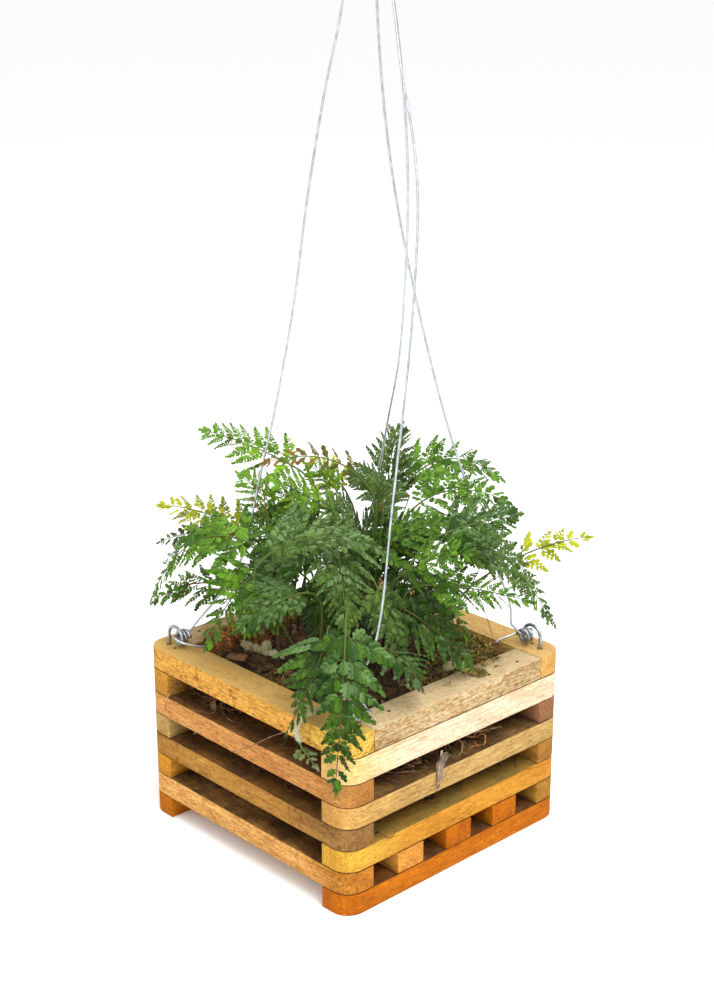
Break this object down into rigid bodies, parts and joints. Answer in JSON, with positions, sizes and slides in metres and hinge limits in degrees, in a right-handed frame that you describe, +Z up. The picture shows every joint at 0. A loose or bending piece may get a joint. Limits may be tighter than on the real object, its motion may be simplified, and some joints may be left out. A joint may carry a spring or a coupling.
{
  "type": "fern in wooden crate",
  "caption": "Fern with arching divided fronds and furry creeping stems in a square crate of stacked wooden slats, with a coiled wire eye at each corner and a wire hanger ending in a hook.",
  "frame": {"origin": "bottom centre of the crate, on the surface that it stands on", "axes": "+Z up along the hanger, the front of the crate faces -Y and its right side faces +X"},
  "size_m": [0.1937, 0.185, 0.5159],
  "materials": {
    "wood_orange": "rough sawn",
    "wood_yellow": "sanded",
    "wood_tan": "sanded",
    "wood_olive": "sanded",
    "wood_pink": "sanded",
    "wood_cream": "sanded",
    "wood_honey": "sanded",
    "wire": "dull zinc",
    "potting_mix": "matte, coarse",
    "rhizome": "furry",
    "leaf_dark": "leathery",
    "leaf_grey": "leathery",
    "leaf_green": "satin",
    "leaf_bright": "satin",
    "leaf_yellow": "satin",
    "leaf_lime": "satin",
    "leaf_bronze": "satin"
  },
  "bodies": {
    "root": {"slat_1_right": "wood_orange", "slat_1_left": "wood_orange", "slat_2_front": "wood_orange", "slat_2_back": "wood_orange", "slat_3_right": "wood_yellow", "slat_3_left": "wood_yellow", "slat_4_front": "wood_tan", "slat_4_back": "wood_tan", "slat_5_right": "wood_olive", "slat_5_left": "wood_olive", "slat_6_front": "wood_pink", "slat_6_back": "wood_pink", "slat_7_right": "wood_cream", "slat_7_left": "wood_cream", "slat_8_front": "wood_honey", "slat_8_back": "wood_honey", "floor_slat_1": "wood_orange", "floor_slat_2": "wood_orange", "floor_slat_3": "wood_orange", "filler_right": "wood_tan", "filler_left": "wood_tan", "corner_rod_front_left": "wire", "corner_rod_front_right": "wire", "corner_rod_back_right": "wire", "corner_rod_back_left": "wire", "hanger_wire_front_left": "wire", "hanger_wire_front_right": "wire", "hanger_wire_back_right": "wire", "hanger_wire_back_left": "wire", "hanger_hook": "wire", "potting_mix": "potting_mix", "rhizome_left": "rhizome", "rhizome_front": "rhizome", "frond_over_corner": "leaf_dark", "frond_over_left": "leaf_dark", "frond_front_high": "leaf_grey", "frond_front_mid": "leaf_grey", "frond_front_left": "leaf_dark", "frond_left_droop": "leaf_green", "frond_front_fan": "leaf_grey", "frond_left_arc": "leaf_green", "frond_left_low": "leaf_green", "frond_left_tip": "leaf_yellow", "frond_top_left": "leaf_bright", "frond_bronze": "leaf_bronze", "frond_left_high": "leaf_bright", "frond_centre": "leaf_bright", "frond_centre_low": "leaf_dark", "frond_upright": "leaf_grey", "frond_right_top": "leaf_green", "frond_right_high": "leaf_green", "frond_right_broad": "leaf_dark", "frond_right_droop": "leaf_grey", "frond_right_pale": "leaf_green", "frond_right_front": "leaf_dark", "frond_right_low": "leaf_dark", "frond_lime": "leaf_lime", "frond_back_left": "leaf_green", "frond_back_right": "leaf_green"}
  },
  "joints": []
}
